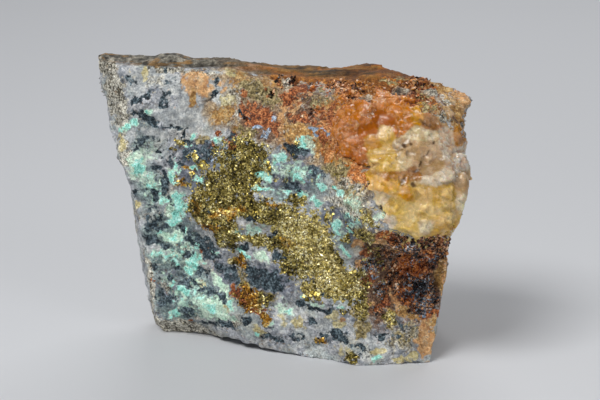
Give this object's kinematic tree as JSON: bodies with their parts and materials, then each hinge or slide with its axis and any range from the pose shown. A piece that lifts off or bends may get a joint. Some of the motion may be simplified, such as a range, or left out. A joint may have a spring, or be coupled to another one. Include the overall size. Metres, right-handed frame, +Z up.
{
  "type": "chalcopyrite specimen",
  "caption": "Broken hand specimen of copper ore: brassy chalcopyrite in pale altered rock, blue-green linarite crusts, a rusty hollow and a proud lump of orange to white quartz.",
  "frame": {"origin": "on the flat break that the stone stands on, under the middle of its bounding box", "axes": "+X to the right of the mineral face, +Y from the mineral face to the plain back, +Z up"},
  "size_m": [0.086, 0.053, 0.0654],
  "materials": {
    "altered_rock": "rough broken stone, pale grey to rust brown",
    "chalcopyrite": "hackly massive sulphide, brassy, slightly tarnished",
    "quartz": "milky and glassy, stained orange to white",
    "goethite": "dark brown, sparkling",
    "linarite": "fine blue-green crust"
  },
  "bodies": {
    "root": {"chalcopyrite_specimen": "altered_rock"}
  },
  "joints": []
}
